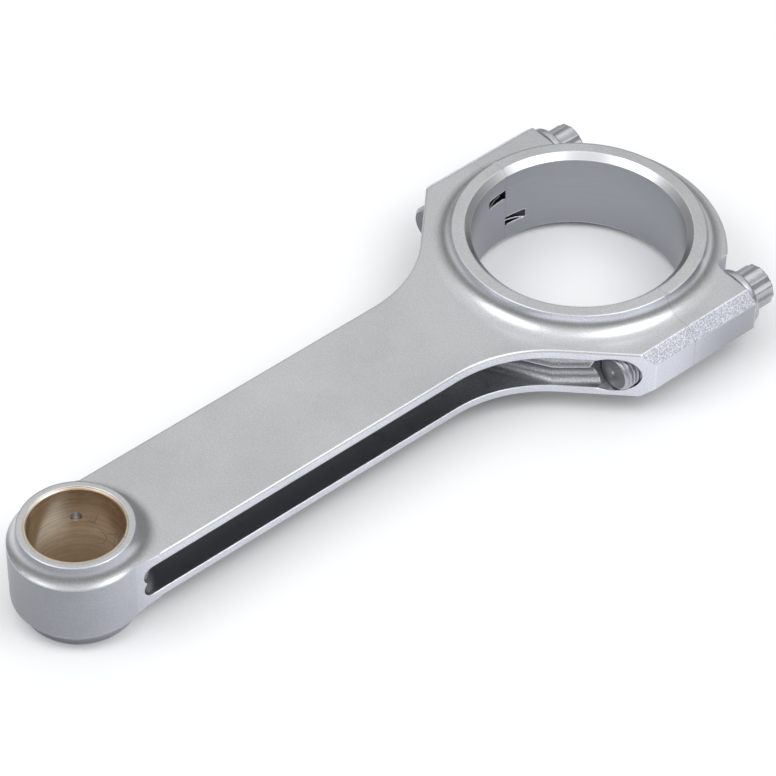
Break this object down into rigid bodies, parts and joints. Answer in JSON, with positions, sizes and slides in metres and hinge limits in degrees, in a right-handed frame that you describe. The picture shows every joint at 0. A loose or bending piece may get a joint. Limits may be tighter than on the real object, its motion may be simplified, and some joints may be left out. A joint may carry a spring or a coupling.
{
  "type": "connecting rod",
  "caption": "H-beam engine connecting rod with a bolted cap, a bushed pin bore and machined side channels.",
  "frame": {"origin": "centre of the crank bore, on the mid-plane of the rod", "axes": "+X along the beam to the pin bore, +Y across the beam, +Z along the crank bore axis; the cap and the bolt heads are on the -X side"},
  "size_m": [0.2315, 0.093, 0.0284],
  "materials": {
    "rod_steel": "shot peened, with ground bores and side faces",
    "bushing_bronze": "honed",
    "bolt_steel": "satin",
    "sleeve_steel": "ground"
  },
  "bodies": {
    "rod": {"rod_body": "rod_steel", "pin_bushing": "bushing_bronze", "alignment_sleeve_left": "sleeve_steel", "alignment_sleeve_right": "sleeve_steel"},
    "cap": {"rod_cap": "rod_steel"},
    "bolt_left": {"cap_bolt_left": "bolt_steel"},
    "bolt_right": {"cap_bolt_right": "bolt_steel"}
  },
  "joints": [
    {"name": "cap_pull", "type": "slide", "parent": "rod", "child": "cap", "axis": [-1, 0, 0], "range_m": [0, 0.03048]},
    {"name": "bolt_left_turn", "type": "hinge", "parent": "cap", "child": "bolt_left", "pos_m": [0, 0.038, 0], "axis": [-1, 0, 0], "range_deg": [0, 8641]},
    {"name": "bolt_right_turn", "type": "hinge", "parent": "cap", "child": "bolt_right", "pos_m": [0, -0.038, 0], "axis": [-1, 0, 0], "range_deg": [0, 8641]}
  ],
  "couplings": [
    {"joint": "bolt_left_turn", "follows": "cap_pull", "rad_per_m": 4947.4},
    {"joint": "bolt_right_turn", "follows": "cap_pull", "rad_per_m": 4947.4}
  ]
}
